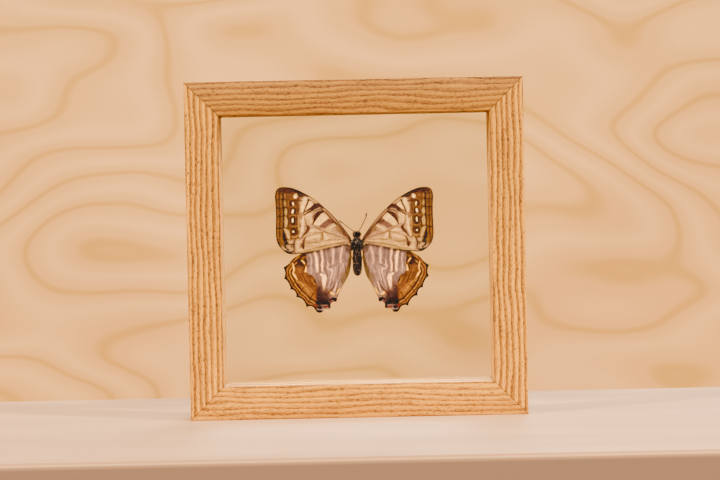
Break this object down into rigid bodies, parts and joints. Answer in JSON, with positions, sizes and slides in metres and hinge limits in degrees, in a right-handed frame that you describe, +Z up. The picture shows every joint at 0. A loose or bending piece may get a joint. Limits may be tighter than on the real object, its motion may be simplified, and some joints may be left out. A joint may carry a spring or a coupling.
{
  "type": "framed butterfly specimen",
  "caption": "Spread butterfly held between two panes of glass in a small square free-standing wooden frame.",
  "frame": {"origin": "on the surface that the frame stands on, under the centre of the frame", "axes": "+Z up, front of the frame faces -Y, +X to the right as seen from the front"},
  "size_m": [0.16, 0.022, 0.16],
  "materials": {
    "top_rail": "satin oiled",
    "bottom_rail": "satin oiled",
    "left_stile": "satin oiled",
    "right_stile": "satin oiled",
    "front_glass": "polished",
    "back_glass": "polished",
    "butterfly_body": "hairy",
    "forewing_left": "matt scales",
    "forewing_right": "matt scales",
    "hindwing_left": "matt scales",
    "hindwing_right": "matt scales",
    "antenna_left": "matt",
    "antenna_right": "matt"
  },
  "bodies": {
    "root": {"top_rail": "top_rail", "bottom_rail": "bottom_rail", "left_stile": "left_stile", "right_stile": "right_stile", "front_glass": "front_glass", "back_glass": "back_glass", "butterfly_body": "butterfly_body", "forewing_left": "forewing_left", "forewing_right": "forewing_right", "hindwing_left": "hindwing_left", "hindwing_right": "hindwing_right", "antenna_left": "antenna_left", "antenna_right": "antenna_right"}
  },
  "joints": []
}
